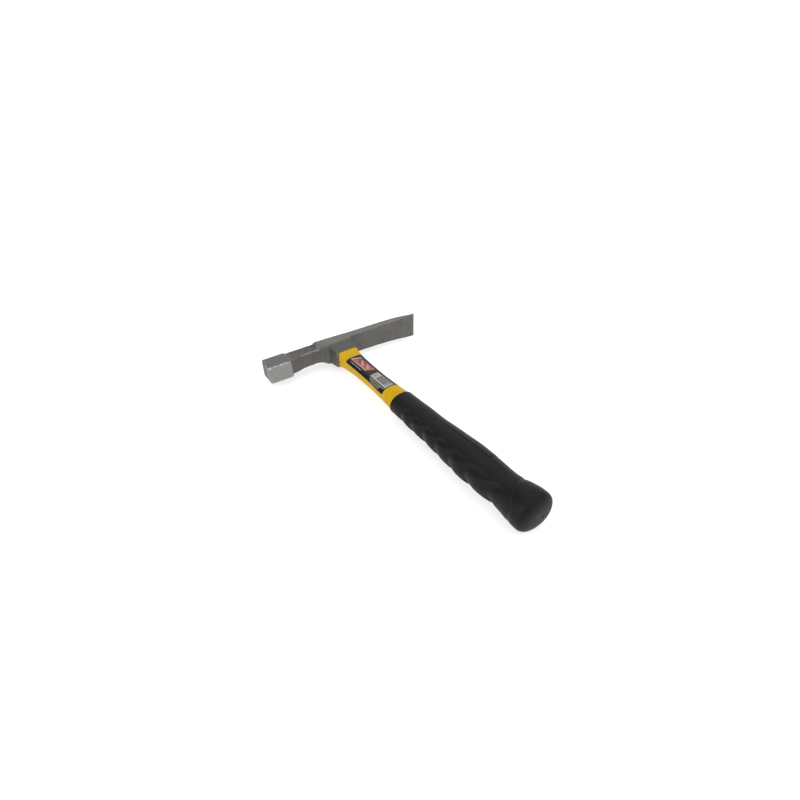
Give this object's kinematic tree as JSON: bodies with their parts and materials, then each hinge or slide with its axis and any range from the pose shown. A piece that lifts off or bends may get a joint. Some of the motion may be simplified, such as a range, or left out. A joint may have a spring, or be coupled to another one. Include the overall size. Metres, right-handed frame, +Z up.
{
  "type": "brick hammer",
  "caption": "Brick hammer: forged steel head with a square poll and a flat scutch blade, on a moulded glass-fibre handle with a lobed rubber grip.",
  "frame": {"origin": "middle of the hammer's outline seen from above, on the plane that it lies on", "axes": "+X down the handle from the head to the butt, +Y from the striking face to the cutting edge, +Z up, across the head"},
  "size_m": [0.3156, 0.19, 0.0357],
  "materials": {
    "steel": "forged, fine satin",
    "core": "pultruded glass fibre",
    "resin": "cast, glossy",
    "jacket": "moulded, semi-gloss",
    "label": "printed film",
    "grip": "moulded, matte"
  },
  "bodies": {
    "root": {"head": "steel", "core_rod": "core", "epoxy_bond": "resin", "jacket": "jacket", "label": "label", "grip_sleeve": "grip"}
  },
  "joints": []
}
